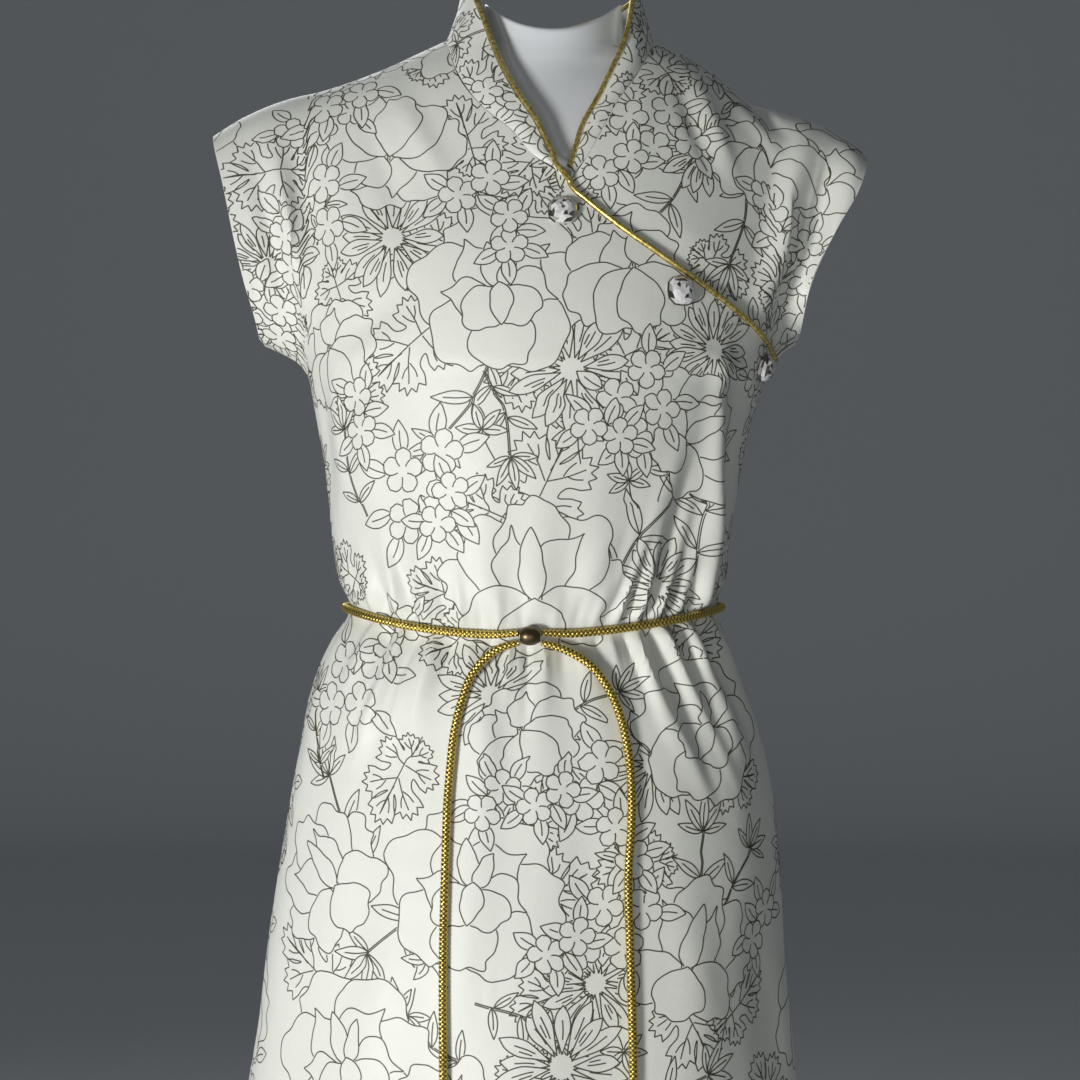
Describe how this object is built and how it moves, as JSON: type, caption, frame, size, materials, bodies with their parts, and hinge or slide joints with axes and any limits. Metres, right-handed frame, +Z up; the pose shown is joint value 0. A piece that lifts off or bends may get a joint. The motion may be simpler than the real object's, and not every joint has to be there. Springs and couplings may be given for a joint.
{
  "type": "east asian dress on a dress form",
  "caption": "Wrap-front dress with a stand collar, cap sleeves, line-flower print and gold cord belt, worn by a limbless dress form on a round stand.",
  "frame": {"origin": "centre of the stand's underside, on the floor", "axes": "+Z up, the front of the dress faces -Y, +X to the viewer's right"},
  "size_m": [0.4489, 0.3413, 1.4469],
  "materials": {
    "printed_cloth": "smooth satiny polyester, ivory with a dark olive line print",
    "gold_piping": "gold lame piping, metallic",
    "gold_cord": "gold braided cord, metallic",
    "bronze_bead": "dark bronze, satin",
    "crystal": "clear cut crystal, polished",
    "form_plastic": "gloss white",
    "stand_metal": "satin white paint"
  },
  "bodies": {
    "root": {"front_panel": "printed_cloth", "under_front": "printed_cloth", "back_panel": "printed_cloth", "collar": "printed_cloth", "collar_piping": "gold_piping", "flap_piping": "gold_piping", "button_1": "crystal", "button_2": "crystal", "button_3": "crystal", "belt_loop": "gold_cord", "belt_bead": "bronze_bead", "belt_tail_left": "gold_cord", "belt_tail_right": "gold_cord", "tail_knot_left": "gold_cord", "tail_knot_right": "gold_cord", "form_torso": "form_plastic", "form_pole": "stand_metal", "form_base": "stand_metal"}
  },
  "joints": []
}
